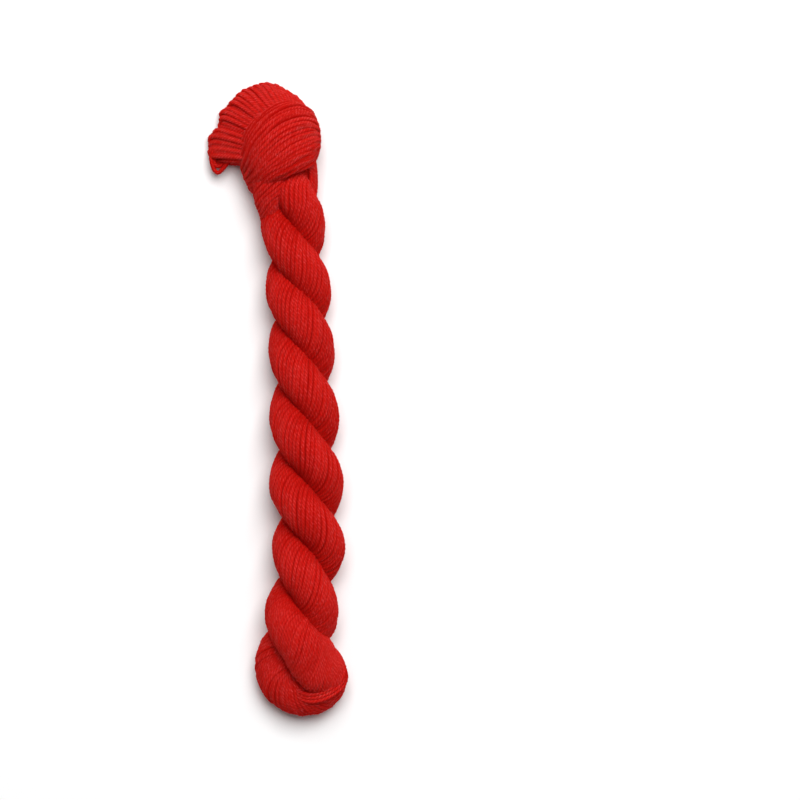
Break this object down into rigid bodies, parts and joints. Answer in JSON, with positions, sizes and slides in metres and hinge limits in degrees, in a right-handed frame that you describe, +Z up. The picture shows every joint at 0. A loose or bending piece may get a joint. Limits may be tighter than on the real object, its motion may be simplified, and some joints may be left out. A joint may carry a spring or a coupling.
{
  "type": "skein of sock yarn",
  "caption": "Small skein of red sock yarn: a hank twisted, folded and plied on itself, with its end loops drawn through each other and fanned out.",
  "frame": {"origin": "middle of the box round the skein, on the surface it lies on", "axes": "+X across the skein, +Y along it from the fold to the knot, +Z up from the surface"},
  "size_m": [0.0416, 0.1905, 0.0217],
  "materials": {
    "yarn": "soft matt plied wool yarn in red, with small changes of tone along it"
  },
  "bodies": {
    "root": {"hank": "yarn"}
  },
  "joints": []
}
